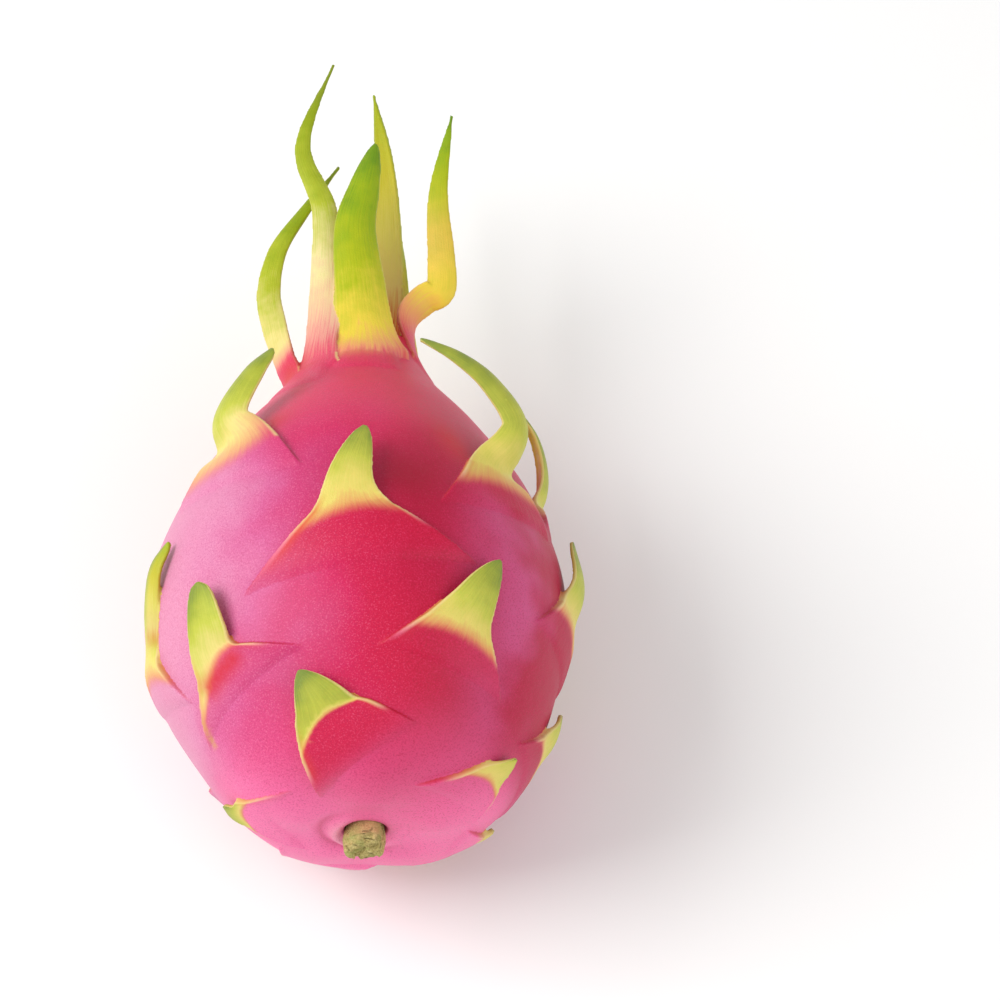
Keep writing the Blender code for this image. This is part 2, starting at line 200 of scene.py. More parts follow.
# %% Grow the body from a sphere
STEM_HOLLOW_RADIUS = 4.3 * MM
STEM_HOLLOW_DEPTH = 3.5 * MM
FUNNEL_RADIUS = 4.5 * MM
FUNNEL_DEPTH = 0.5 * MM
FLOWER_HOLLOW_RADIUS = 6.0 * MM
FLOWER_HOLLOW_DEPTH = 4.0 * MM
WALL_LEAN = 0.1 * MM
FLOOR_BEVEL = 0.8 * MM
NECK_LIP = (0.9 * MM, 1.8 * MM)
NECK_EDGE = 0.5 * MM
BODY_SIDES = 200
BODY_RINGS = 190

# The skin is puckered round the stem: a raised collar, a groove round it and low folds that run out
COLLAR_RADIUS = 6.4 * MM
COLLAR_WIDTH = 1.4 * MM
COLLAR_HEIGHT = 1.3 * MM
COLLAR_SIDE = math.radians(-125)
GROOVE_RADIUS = 9.6 * MM
GROOVE_DEPTH = 0.8 * MM
FOLD_DEPTH = 0.6 * MM
FOLDS = 5
FOLDS_START, FOLDS_FULL, FOLDS_FADE, FOLDS_END = 9 * MM, 15 * MM, 22 * MM, 32 * MM
STEM_END = -0.7 * STEM_REACH

stem_rim, neck_rim = OUTLINE[0][0], OUTLINE[-1][0]
stem_floor, neck_floor = stem_rim + STEM_HOLLOW_DEPTH, neck_rim - FLOWER_HOLLOW_DEPTH
FULL_OUTLINE = [(stem_floor, 0.0), (stem_floor, STEM_HOLLOW_RADIUS - WALL_LEAN)]
FULL_OUTLINE += [(stem_floor - FLOOR_BEVEL, STEM_HOLLOW_RADIUS), (stem_rim + FUNNEL_DEPTH, FUNNEL_RADIUS)]
FULL_OUTLINE += OUTLINE
FULL_OUTLINE += [(neck_rim + NECK_LIP[0], FLOWER_HOLLOW_RADIUS + NECK_LIP[1])]
FULL_OUTLINE += [(neck_rim + NECK_EDGE, FLOWER_HOLLOW_RADIUS)]
FULL_OUTLINE += [(neck_floor, FLOWER_HOLLOW_RADIUS - WALL_LEAN), (neck_floor, 0.0)]
FULL_RUN = run_lengths(FULL_OUTLINE)


def on_profile(direction, profile, runs):
    """The angle, height and radius on a profile for a point of the unit sphere."""
    run = (1 - math.acos(max(-1.0, min(1.0, direction.z))) / math.pi) * runs[-1]
    height = between(runs, [h for h, _ in profile], run)
    radius = between(runs, [r for _, r in profile], run)
    return math.atan2(direction.x, direction.y), height, radius


def pucker(angle, height, radius):
    """How far the skin near the stem is raised along -Y."""
    if height > STEM_END:
        return 0.0
    side = smooth(math.cos(angle - COLLAR_SIDE), -0.5, 0.7)
    collar = COLLAR_HEIGHT * math.exp(-((radius - COLLAR_RADIUS) / COLLAR_WIDTH) ** 2) * (0.25 + 0.75 * side)
    groove = GROOVE_DEPTH * math.exp(-((radius - GROOVE_RADIUS) / COLLAR_WIDTH) ** 2) * side
    start, end = smooth(radius, FOLDS_START, FOLDS_FULL), smooth(radius, FOLDS_FADE, FOLDS_END)
    folds = FOLD_DEPTH * math.sin(FOLDS * angle + 1.2) * start * (1 - end)
    return collar - groove + folds


def body_point(direction):
    """The skin's point for a point of the unit sphere."""
    angle, height, radius = on_profile(direction, FULL_OUTLINE, FULL_RUN)
    if radius > RADII[0] - WALL_LEAN:
        radius += lump(angle, height)
    if height < 0:
        height -= pucker(angle, height, radius)
    across = lean(height) + radius * math.sin(angle)
    return Vector((across, height, max(0.0, AXIS_HEIGHT + radius * math.cos(angle))))


bpy.ops.object.select_all(action="DESELECT")
bpy.ops.mesh.primitive_uv_sphere_add(segments=BODY_SIDES, ring_count=BODY_RINGS, radius=1.0)
body = bpy.context.object
body.name = body.data.name = "fruit_skin"
for vert in body.data.vertices:
    vert.co = body_point(vert.co)
print("body:", len(body.data.polygons), "faces")

# %% [markdown]
# ## Where the scales and bracts stand
# Each blade is a row of one table: where its foot is, the path of its middle line, its widths and how
# it folds. The last numbers are its colours: how far from its foot, in millimetres, the pink ends,
# the yellow and the green begin, how much that border slants and arches, and how creamy it is.

# %% Table of scales and bracts
Blade = namedtuple(
    "Blade", "name angle height turn path width foot root twist fold thick lift point spread crown "
    "pink yellow green slant arch cream"
)


def scale(name, angle, height, path, width, foot, root, turn=0, twist=0, fold=14, thick=2.6, lift=1.5,
          point=0.7, spread=0.8, pink=-2.5, yellow=2, green=8, slant=0, arch=1.5, cream=0.0):
    """A short scale on the body, given in millimetres and degrees."""
    return Blade(name, angle, height * MM, turn, path, width * MM, foot * MM, root * MM, twist, fold,
                 thick * MM, lift * MM, point, spread, False, pink, yellow, green, slant, arch, cream)


def bract(name, angle, height, path, width, foot, root, turn=0, twist=0, fold=35, thick=2.6, lift=1.0,
          point=0.9, spread=0.8, pink=0, yellow=6, green=24, slant=0, arch=-1.0, cream=0.0):
    """A long bract of the crown, given in millimetres and degrees."""
    return Blade(name, angle, height * MM, turn, path, width * MM, foot * MM, root * MM, twist, fold,
                 thick * MM, lift * MM, point, spread, True, pink, yellow, green, slant, arch, cream)


SCALES = (
    scale("scale_01", -84, -45.5, ((3, -0.5, 1.1), (6, 0.8, 0.4)), 8.4, 11, 10, turn=-15, lift=1.2, spread=1.3,
          thick=2, pink=0.5, yellow=2, green=3.5),
    scale("scale_02", 62, -43, ((4, 1, 0.8), (8, 2, 0.2)), 7, 12, 11, lift=1.2, pink=0),
    scale("scale_03", 130, -43, ((4, -1, 0.8), (8, -1, 0.2)), 7, 12, 11, lift=1.2, pink=0),
    scale("scale_04", -152, -43, ((4, 0, 0.8), (8, 1, 0.2)), 7, 12, 11, lift=1.2, pink=0),
    scale("scale_05", -9.9, -39.1, ((5.4, 1.6, 1.6), (13.1, 2.9, 1)), 13, 19, 14, turn=-36, point=0.67,
          spread=0.55, pink=2.6, yellow=3.8, green=4.2, slant=0.8, arch=2.6),
    scale("scale_06", 94, -30, ((7, 0, 1.2), (14, 1, 0)), 10, 15, 13, turn=12, pink=-1),
    scale("scale_07", -130, -30, ((7, 0, 1.2), (14, -1, 0)), 10, 15, 13, turn=-8),
    scale("scale_08", 166, -31, ((6, 0, 0.8), (12, 0, -0.6)), 9, 14, 12),
    scale("scale_09", -44.8, -23.3, ((6.5, 4.2, 1.2), (14.1, 9, 0.4)), 10.7, 13.4, 12, turn=-20, lift=1.7,
          point=0.38, spread=1.5, pink=-1.8, yellow=1.5, green=10, slant=3, arch=2.5, cream=0.4),
    scale("scale_10", 31, -20, ((8, 1, 1.8), (17, 3.4, 1)), 11, 16, 13, turn=12, fold=20, point=0.6),
    scale("scale_11", -78.3, -15.2, ((18.4, 5.6, -2.8), (25.5, 8.5, -7.7)), 7.4, 12, 14, turn=19, twist=15,
          fold=33, point=0.38, pink=-4, yellow=2, green=9),
    scale("scale_12", 80, -4, ((10, 0, 1.6), (21, -1, -1.6)), 11, 17, 14, turn=6, fold=28, point=0.6),
    scale("scale_13", 128, 0, ((9, 0, 1.6), (18, 1, -0.4)), 10, 16, 13, turn=8, fold=20, point=0.6),
    scale("scale_14", -122, 4, ((10, 0, 1.8), (20, -1, 0)), 10, 16, 13, turn=-8, fold=24, point=0.6),
    scale("scale_15", -0.2, 2.8, ((7.3, 0.9, 2.4), (19.6, 5.3, 0.2)), 9.6, 17.4, 18, turn=-8, lift=1.8,
          point=0.51, spread=1.4, pink=-2, yellow=4, green=14, slant=1, arch=2.5),
    scale("scale_16", 44.6, 19.2, ((9, 4.4, 7.6), (18, -1.6, 9.8), (24.4, -8.6, 8.8), (30.1, -14.8, 5.4)), 10.1,
          17.5, 15, turn=-8, fold=58, lift=1.8, point=0.62, spread=0.9, pink=-5, yellow=2, green=12),
    scale("scale_17", -39.8, 25.9, ((7, -2.2, 5), (17.2, 2.6, 6.8), (24.8, 5, 5.4)), 11.4, 21, 15, turn=1,
          fold=46, lift=1.8, point=0.45, pink=-7, yellow=4, green=11, slant=4, arch=-2, cream=0.35),
    scale("scale_18", 98, 27, ((10, 0, 6), (20, -1, 8), (29, -3, 6)), 9.5, 17, 14, fold=48, pink=-4),
    scale("scale_19", -106, 33, ((9, 0, 2), (18, 1, 1.5), (25, 2, -1.5)), 9, 16, 13, fold=48, pink=-4),
    scale("scale_20", 152, 30, ((5, 0, 7.5), (10, 0, 16), (14.5, 0.5, 24.5)), 9.5, 17, 13, fold=30, pink=-4),
    scale("scale_21", -150, 32, ((5, 0, 7.5), (10, 0, 17), (15, -0.5, 26.5)), 9.5, 17, 13, fold=30, pink=-4),
)
BRACTS = (
    bract("bract_front", 4.2, 62.8, ((-0.7, 80.4, 12.7), (-2.2, 95.8, 12), (-0.4, 107.2, 11.7), (2, 119, 11.2)),
          13.7, 19, 18, fold=42, lift=1.3, point=0.5, spread=0.4, pink=-9, yellow=6, green=24, slant=2.5),
    bract("bract_left", -40, 57, ((-8.8, 84, 9.5), (-9.6, 103, 9), (-14.8, 120, 9.5), (-8.2, 142, 10.5)),
          9.2, 14, 18, twist=42, fold=34, point=0.95, pink=-5, yellow=31, green=49, cream=1.0),
    bract("bract_far_left", -72, 56, ((-20.5, 73, 4.5), (-22, 84, 3.2), (-20.2, 96, 2.4), (-14.4, 107, 2),
                                      (-6.8, 119, 2)),
          7, 15, 14, twist=64, fold=22, lift=0.8, point=0.75, pink=5, yellow=11, green=34, cream=0.7),
    bract("bract_right", 82, 65, ((10.2, 75.4, 3.4), (13.4, 80.6, 4.2), (17, 82.8, 5.6), (16.9, 91, 7.2),
                                  (16.2, 107, 9.5), (19.2, 127, 11)),
          8.2, 9, 14, twist=-84, fold=20, lift=0.8, point=0.75, pink=4, yellow=20, green=46),
    bract("bract_behind", 168, 64, ((4.2, 88, -8), (4.3, 108, -5.5), (3.4, 124, -2.5), (0.9, 140, 0.5)),
          11, 16, 18, fold=36, point=0.75),
    bract("bract_low_right", 122, 62, ((9.4, 84, -7), (8.2, 98, -6.5), (6.4, 110, -5)), 8, 12, 15, fold=36),
    bract("bract_low_left", -140, 60, ((-8.6, 82, -9.5), (-8.6, 96, -10.5), (-6.4, 108, -9)), 8, 12, 15,
          fold=36),
)
BLADES = SCALES + BRACTS
print("blades:", len(SCALES), "scales and", len(BRACTS), "bracts")

# %% [markdown]
# ## How one blade is shaped
# A blade starts deep in the skin, where it is broad and lies flat on the body, and ends in a free,
# curved tip. Below the foot its points are laid on the skin. Past the foot they follow the blade's own
# middle line, and the section across it is part of a circle, so the margins curl inwards.

# %% Blade formulas
ROOT_SINK = 2.0 * MM
ROOT_UNDER = 1.3 * MM
JOIN_START = -2.0 * MM
JOIN_END = 7.0 * MM
FLARE = 4.5 * MM
LEAST_HALF_WIDTH = 0.45 * MM
LEAST_THICKNESS = 1.05 * MM
TIP_THINNING = 0.62
MARGIN_THINNING = 0.72
TAPER_POWER = 1.8
ROUNDEST = 1.7
TWIST_DONE = 0.45
NEAREST_STEM = 7.0 * MM
LOWEST_BLADE = 0.3 * MM
SOFT_FLOOR = 1.2 * MM
LIP = 0.25 * MM
LIP_WIDTH = 0.16


def foot_of(b):
    """A blade's foot on the skin, and the directions forward, sideways and outward there."""
    angle, run = math.radians(b.angle), between(HEIGHTS, RUN, b.height)
    up, side, out = skin_frame(angle, run)
    turn = math.radians(b.turn)
    forward = up * math.cos(turn) + side * math.sin(turn)
    return skin(angle, run), forward, forward.cross(out), out


def spine_of(b):
    """The free blade's middle line: how far along it each step lies, its points and its frames."""
    foot, forward, side, out = foot_of(b)
    foot = foot + out * b.lift
    if b.crown:
        points = [Vector((x * MM, y * MM, AXIS_HEIGHT + z * MM)) for x, y, z in b.path]
    else:
        points = [foot + (forward * a + side * s + out * o) * MM for a, s, o in b.path]
    lead = (points[0] - foot).length
    steps = 10
    line = curve_through([foot - forward * lead * 0.6, foot, *points], steps)[steps:]
    line = [Vector(point) for point in line]
    runs = run_lengths(line)
    frames = []
    for index, point in enumerate(line):
        after, before = line[min(index + 1, len(line) - 1)], line[max(index - 1, 0)]
        ahead = (after - before).normalized()
        side = (side - ahead * side.dot(ahead)).normalized()
        turned = math.radians(b.twist) * smooth(runs[index] / runs[-1], 0, TWIST_DONE)
        across = Quaternion(ahead, turned) @ side
        frames.append((point, across, across.cross(ahead)))
    return runs, frames


def along_spine(spine, reach):
    """The point, sideways and outward directions at this reach, run on straight before the foot."""
    runs, frames = spine
    if reach <= 0:
        ahead = (frames[1][0] - frames[0][0]).normalized()
        return frames[0][0] + ahead * reach, frames[0][1], frames[0][2]
    low = min(max(bisect_right(runs, reach) - 1, 0), len(runs) - 2)
    share = (reach - runs[low]) / (runs[low + 1] - runs[low])
    return tuple(a.lerp(b, share) for a, b in zip(frames[low], frames[low + 1]))


def half_width(b, length, reach):
    """Half the blade's width at this reach along it, 0 at the foot and negative in the root."""
    middle, foot = b.width / 2, b.foot / 2
    if reach < 0:
        return foot - b.spread * reach
    share = min(1.0, reach / length)
    taper = (1 - share ** TAPER_POWER) ** b.point
    flare = (foot - middle) * math.exp(-reach / FLARE) * (1 - share)
    return max(LEAST_HALF_WIDTH, middle * taper + flare)


def thickness(b, length, reach, across):
    """The blade's thickness: fleshy at its foot, thin at its tip and margins."""
    share = min(1.0, max(0.0, reach / length))
    middle = b.thick * (1 - TIP_THINNING * share ** 0.8)
    return max(LEAST_THICKNESS, middle * (1 - MARGIN_THINNING * across ** 2))


def root_heights(b, reach, depth, across):
    """How far the root's outer and inner faces lie over the skin, with a raised lip at its margins."""
    down = min(1.0, max(0.0, -reach / b.root))
    outer = b.lift * (1 - down) ** 1.2 - ROOT_SINK * smooth(down, 0.5, 1.0)
    if b.crown:
        outer -= (b.lift + ROOT_SINK / 2) * smooth(abs(across), 0.4, 1.0) * smooth(down, 0.0, 0.25)
        lip = 0.0
    else:
        lip = LIP * math.exp(-((1 - abs(across)) / LIP_WIDTH) ** 2) * (1 - smooth(down, 0.3, 0.9))
    return outer + lip, min(outer - depth, -ROOT_UNDER)


def wrapped_point(b, reach, offset, height):
    """A point laid on the body: reach and offset measured on the skin, height over it."""
    turn = math.radians(b.turn)
    foot_run = between(HEIGHTS, RUN, b.height)
    run = foot_run + reach * math.cos(turn) - offset * math.sin(turn)
    run = NEAREST_STEM + max(0.0, run - NEAREST_STEM)
    radius = between(RUN, RADII, run)
    angle = math.radians(b.angle) + (reach * math.sin(turn) + offset * math.cos(turn)) / radius
    return skin(angle, run) + skin_frame(angle, run)[2] * height


def blade_point(b, spine, reach, across, inside):
    """A point of the blade: its outer face, or its inner one where inside is true."""
    length = spine[0][-1]
    half = half_width(b, length, reach)
    depth = thickness(b, length, reach, across)
    outer, inner = root_heights(b, reach, depth, across)
    wrapped = wrapped_point(b, reach, across * half, inner if inside else outer)
    middle, side, out = along_spine(spine, reach)
    bend = min(math.radians(b.fold), half / (ROUNDEST * depth))
    ring = half / bend
    section = side * math.sin(across * bend) + out * math.cos(across * bend)
    free = middle - out * ring + section * (ring - (depth if inside else 0.0))
    point = wrapped.lerp(free, smooth(reach, JOIN_START, JOIN_END))
    if point.z < SOFT_FLOOR:
        spare = SOFT_FLOOR - LOWEST_BLADE
        point.z = LOWEST_BLADE + spare * math.exp((point.z - SOFT_FLOOR) / spare)
    return point


print("blades are", LEAST_THICKNESS / MM, "mm thick or more")

# %% [markdown]
# ## The blades
# A flat grid has rows along the blade and columns across it. Extruding the whole grid once gives it
# a second face, so it becomes a thin closed box, and each of its points is then moved to its place.
# Every point also remembers which blade it is on and where, because the colours follow that.

# %% Make every blade from a grid
ROW_STEP = 0.9 * MM
COLUMNS = 26
AROUND = "blade", "reach", "across", "inner"


def store(mesh, name, values):
    """Writes one number per point under this name."""
    kept = mesh.attributes.get(name) or mesh.attributes.new(name, "FLOAT", "POINT")
    kept.data.foreach_set("value", np.asarray(values, dtype=np.float32))


def stored(mesh, name):
    """The numbers under this name, one per point."""
    values = np.empty(len(mesh.vertices), dtype=np.float32)
    mesh.attributes[name].data.foreach_get("value", values)
    return values


def point_outwards():
    """Turns the faces of the active piece outwards."""
    bpy.ops.object.mode_set(mode="EDIT")
    bpy.ops.mesh.select_all(action="SELECT")
    bpy.ops.mesh.normals_make_consistent(inside=False)
    bpy.ops.object.mode_set(mode="OBJECT")


def make_blade(number, b):
    """One closed blade, shaped by the formulas, that knows its places."""
    spine = spine_of(b)
    length = spine[0][-1]
    rows = round((length + b.root) / ROW_STEP)
    bpy.ops.object.select_all(action="DESELECT")
    bpy.ops.mesh.primitive_grid_add(x_subdivisions=rows, y_subdivisions=COLUMNS, size=2.0)
    made = bpy.context.object
    made.name = b.name
    bpy.ops.object.mode_set(mode="EDIT")
    bpy.ops.mesh.select_all(action="SELECT")
    bpy.ops.mesh.extrude_region_move(TRANSFORM_OT_translate={"value": (0, 0, -1)})
    bpy.ops.object.mode_set(mode="OBJECT")
    known = []
    for vert in made.data.vertices:
        reach = -b.root + (vert.co.x + 1) / 2 * (length + b.root)
        across, inside = math.sin(vert.co.y * math.pi / 2), vert.co.z < -0.5
        vert.co = blade_point(b, spine, reach, across, inside)
        known.append((number, reach / MM, across, float(inside)))
    for name, values in zip(AROUND, zip(*known)):
        store(made.data, name, values)
    point_outwards()
    return made, length / MM


blades, LENGTHS = [], [1.0]
for number, b in enumerate(BLADES, start=1):
    made, length = make_blade(number, b)
    blades.append(made)
    LENGTHS.append(length)
print("longest blade:", round(max(LENGTHS), 1), "mm")

# %% [markdown]
# ## One skin
# On the real fruit the blades and the body share one skin. Joining the meshes only lays them through
# each other. A voxel remesh walks round the outside of them all and gives one closed skin, and a
# light smoothing rounds the joints. Decimate then drops the points that flat places don't need.

# %% Join, remesh and smooth
VOXEL = 0.32 * MM
MOST_TRIANGLES = 190_000


def apply_modifier(made, kind, **values):
    """Adds a modifier with these values and applies it."""
    bpy.ops.object.select_all(action="DESELECT")
    made.select_set(True)
    bpy.context.view_layer.objects.active = made
    bpy.ops.object.modifier_add(type=kind)
    modifier = made.modifiers[-1]
    for key, value in values.items():
        setattr(modifier, key, value)
    bpy.ops.object.modifier_apply(modifier=modifier.name)


for name in AROUND:
    store(body.data, name, np.zeros(len(body.data.vertices)))
bpy.ops.object.select_all(action="DESELECT")
for made in [body, *blades]:
    made.select_set(True)
bpy.context.view_layer.objects.active = body
bpy.ops.object.join()
source = bmesh.new()
source.from_mesh(body.data)
old_faces = BVHTree.FromBMesh(source)
source.faces.ensure_lookup_table()
known = {name: stored(body.data, name) for name in AROUND}
apply_modifier(body, "REMESH", mode="VOXEL", voxel_size=VOXEL)
apply_modifier(body, "SMOOTH", factor=0.5, iterations=5)
triangles = 2 * len(body.data.polygons)
print("remeshed:", triangles, "triangles")
apply_modifier(body, "DECIMATE", ratio=min(1.0, MOST_TRIANGLES / triangles))
for vert in body.data.vertices:
    vert.co.z = max(0.0, vert.co.z)
print("kept:", sum(len(face.vertices) - 2 for face in body.data.polygons), "triangles")

# %% [markdown]
# ## Where on a blade each point lies
# The remesh forgets what its points were, so each new point asks the nearest face of the old meshes.
# The answer, blended between that face's corners, says which blade it is on, how far along and across.

# %% Find each point's place again
count = len(body.data.vertices)
place = {name: np.zeros(count) for name in AROUND}
for index, vert in enumerate(body.data.vertices):
    spot, _, face_index, _ = old_faces.find_nearest(vert.co)
    corners = source.faces[face_index].verts
    weights = poly_3d_calc([corner.co for corner in corners], spot)
    for name in AROUND:
        place[name][index] = sum(known[name][corner.index] * weight for corner, weight in zip(corners, weights))
source.free()
number = np.rint(place["blade"]).astype(int)
print("points on blades:", int((number > 0).sum()), "of", count)

# %% [markdown]
# ## From pink to green
# The colours follow masks, numbers that every point of the mesh carries. The first one, `tone`, goes
# from 0, pink skin, through yellow to 1, the green tip, as the table's rows say. It could be painted
# by hand, but a formula keeps all the blades alike and can be tuned by its numbers.

# %% Tone along the blades
def column(field):
    """One number of the table for every point, 0 on the bare body."""
    return np.array([0.0] + [float(getattr(b, field)) for b in BLADES])[number]


def steps(value, low, high):
    """0 below low, 1 above high and an even S between them, for many values at once."""
    share = np.clip((value - low) / (high - low), 0, 1)
    return share * share * (3 - 2 * share)


reach, across, inner = place["reach"], place["across"], place["inner"]
on_blade = number > 0
length, root = np.array(LENGTHS)[number], np.maximum(column("root") / MM, 1.0)
shifted = reach - column("slant") * across + column("arch") * across ** 2
rises = [(column("pink"), 0.0), (column("yellow"), 0.36), (column("green"), 0.66), (length, 1.0)]
tone = np.zeros(count)
for (start, before), (end, after) in zip(rises, rises[1:]):
    tone += (after - before) * np.clip((shifted - start) / np.maximum(end - start, 0.5), 0, 1)
tone *= on_blade
share = np.clip(reach / length, 0, 1) * on_blade
print("greenest:", round(float(tone.max()), 2))

# %% [markdown]
# ## Pockets and bellies
# The skin in the pocket behind a blade is orange-red, partly its own colour and partly painted shade
# under the blade, and beside the largest scale a dark crimson is a painted shadow (`pocket`). A foot can
# end in a red line of painted shade along its fold and a dry tan line (`dry`), and the skin below some
# of the feet is a deep crimson (`deep`). Each is a soft hill, placed by its distance from a foot.

# %% Masks of the pockets and bellies
points = np.empty(count * 3)
body.data.vertices.foreach_get("co", points)
points = points.reshape(-1, 3)
numbered = {b.name: which for which, b in enumerate(BLADES, start=1)}
outer_skin = np.where(on_blade & (inner < 0.5) & (reach > 1.0), 0.0, 1.0)


def hill(value, middle, half):
    """1 at the middle, fading to nearly 0 at twice the half width."""
    return np.exp(-((value - middle) / half) ** 2)


def from_foot(name):
    """Where every point lies from a blade's foot, in millimetres: ahead, aside and away."""
    foot, forward, side, out = (np.array(v) for v in foot_of(BLADES[numbered[name] - 1]))
    local = points - foot
    return local @ forward / MM, local @ side / MM, local @ out / MM


# The pockets, orange-red and partly painted shade under the blades: how far ahead and aside of the foot
# each lies, its half sizes and its strength
PITS = {
    "scale_16": (9.5, -7.0, 7.0, 4.0, 0.65), "scale_17": (8.0, 5.0, 4.5, 4.5, 0.7),
    "scale_09": (5.0, 3.5, 5.0, 2.0, 0.5), "bract_far_left": (5.0, 5.0, 5.0, 5.0, 0.9),
    "bract_right": (6.0, 0.0, 7.0, 6.0, 0.9), "bract_front": (12.0, 0.0, 6.0, 12.0, 0.9),
    **{f"scale_{which}": (8.0, 0.0, 6.0, 6.0, 0.9) for which in (18, 19, 20, 21)},
}
# Orange-red skin under the blades: partly its own colour, partly painted shade in the recess there
axil_red_and_shade = np.zeros(count)
for name, (middle, beside, long, wide, strength) in PITS.items():
    ahead, aside, away = from_foot(name)
    here = hill(ahead, middle, long) * hill(aside, beside, wide) * steps(ahead, -2.0, 2.5)
    here = here * (1 - steps(np.abs(away), 6.0, 10.0))
    axil_red_and_shade = np.maximum(axil_red_and_shade, strength * here)
axil_red_and_shade = np.maximum(axil_red_and_shade, inner * (1 - steps(share, 0.02, 0.22))) * outer_skin
ahead, aside, away = from_foot("bract_far_left")
axil_red_and_shade = np.maximum(axil_red_and_shade, hill(np.sqrt((ahead - 3.0) ** 2 + (aside - 1.0) ** 2 + away ** 2), 0.0, 5.5))
# Painted shadow: a dark crimson patch on the skin beside the largest scale, where that scale casts shade
ahead, aside, away = from_foot("scale_15")
pocket = hill(ahead, 9.0, 9.5) * hill(aside, 12.0, 8.0) * (np.abs(away) < 9) * outer_skin
ahead, aside, away = from_foot("scale_09")
# Painted shade: a red band along the fold at the foot of scale_09
crease_red_shade = hill(ahead, -2.4, 2.4) * steps(aside, -9.0, -5.0) * (1 - steps(aside, 4.0, 8.5)) * (np.abs(away) < 4)
dry = hill(aside + 12.4 - 0.63 * (ahead + 3.3), 0.0, 0.8) * (np.abs(ahead + 6.5) < 3.6) * (np.abs(away) < 4)
deep = np.zeros(count)
UPPER_HALF = 45.0 * MM
BELLIES = {"scale_15": 0.9, "scale_05": 1.0, "scale_09": 0.35, "scale_16": 0.5, "scale_10": 0.6}
for name, strength in BELLIES.items():
    here = (number == numbered[name]) * (inner < 0.5)
    deep = np.maximum(deep, strength * here * (1 - steps(-reach / root, 0.25, 0.95)))
belly = hill(points[:, 0] / MM, 8.0, 12.0) * hill(points[:, 1] / MM, -24.0, 19.0)
belly *= points[:, 2] > UPPER_HALF
deep = np.maximum(deep, 0.95 * belly)
print("pocket points:", int((axil_red_and_shade > 0.5).sum()), "crimson points:", int((deep > 0.5).sum()))

# %% [markdown]
# ## Margins and single places
# A pale line runs down the margins of most roots: the blades' own cream edge, and down the lit side of a
# root a painted highlight on its raised lip. An orange line inside it is partly the root's own orange and
# partly painted shade under the lip. Round the stem the raised collar carries a painted highlight and the
# groove outside it painted shade. Two blades differ from the rest: one bract has a warm `blush`, and one
# scale shows the olive of its inner face. Each mask is stored in the mesh by its name, where the material
# finds it.

# %% Masks of the margins, and all of them stored
# How far down either margin of a root its pale line and painted highlight run, in millimetres, and how
# strong the orange and painted shade inside it are
RIDGES = {
    "scale_01": (3.0, 8.0), "scale_05": (7.5, 4.5), "scale_09": (9.0, 5.0), "scale_10": (8.0, 4.0),
    "scale_15": (11.0, 6.0), "scale_16": (5.0, 3.0), "scale_17": (3.0, 1.5),
}
ORANGE_AND_SHADE_SIDES = {
    "scale_01": (0.1, 0.4), "scale_05": (0.6, 0.2), "scale_09": (0.4, 0.4), "scale_15": (1.0, 0.15),
    "scale_17": (0.0, 0.1), "bract_front": (0.1, 0.6), "bract_right": (0.7, 0.7),
}
CROWN_START = 60.0 * MM
ASIDE_SPAN = 6.0


def by_side(table, usual):
    """A number for every point from a table of (left, right) pairs by blade name."""
    pairs = np.array([usual] + [table.get(b.name, usual) for b in BLADES])
    return np.where(across < 0, pairs[number, 0], pairs[number, 1])


# Pale margin line: the blades' own cream edge, and down the lit side of a root a painted highlight
run_down = by_side(RIDGES, (4.5, 4.5))
pale_line_and_highlight = (1 - steps(-reach / run_down, 0.35, 1.0)) * on_blade
# Orange inside the margin: partly the root's own orange, partly painted shade under the raised lip
orange_and_shade = by_side(ORANGE_AND_SHADE_SIDES, (0.2, 0.1)) * pale_line_and_highlight * (1 - steps(reach, 0.0, 4.0))
crown = (points[:, 1] > CROWN_START) * column("crown")

# The collar round the stem gets a painted highlight and the groove outside it painted shade, both mostly
# on its left and below
from_stem = points[:, [0, 2]] - (STEM_LEAN, AXIS_HEIGHT)
spread_out = np.hypot(*from_stem.T)
to_side = from_stem @ (math.sin(COLLAR_SIDE), math.cos(COLLAR_SIDE)) / np.maximum(spread_out, MM)
near_stem = steps(to_side, -0.5, 0.7) * (points[:, 1] < STEM_END)
collar = hill(spread_out, COLLAR_RADIUS, COLLAR_WIDTH) * near_stem
groove = hill(spread_out, GROOVE_RADIUS, 0.8 * MM) * near_stem
blush = (number == numbered["bract_right"]) * hill(reach, 34.0, 9.0)
olive = (number == numbered["scale_11"]) * steps(across, -0.45, 0.15) * steps(reach, 4.0, 9.0)

MASKS = {
    "tone": tone, "axil_red_and_shade": axil_red_and_shade, "pocket": pocket, "crease_red_shade": crease_red_shade, "dry": dry, "deep": deep,
    "crown": crown, "pale_line_and_highlight": pale_line_and_highlight, "orange_and_shade": orange_and_shade, "collar": collar, "groove": groove,
    "inner": np.maximum(inner, 0.9 * olive), "share": share, "along": reach, "aside": across * ASIDE_SPAN,
    "cream": column("cream"), "blush": blush,
}
for name, values in MASKS.items():
    store(body.data, name, values)
for name in ("blade", "reach", "across"):
    if name in body.data.attributes:
        body.data.attributes.remove(body.data.attributes[name])
print("masks:", sorted(MASKS))

# %% [markdown]
# ## Helpers for materials
# Node trees are easier to read when each node is one line. One helper adds a node and fills its
# inputs, and a few more name the nodes that are used most: a ramp, a mix, a range and arithmetic.

# %% Node helpers
def fill(tree, made, inputs):
    """Gives a node's inputs what belongs in them: a socket is linked, anything else is set."""
    for key, value in inputs.items():
        if isinstance(value, bpy.types.NodeSocket):
            tree.links.new(value, made.inputs[key])
        else:
            made.inputs[key].default_value = value


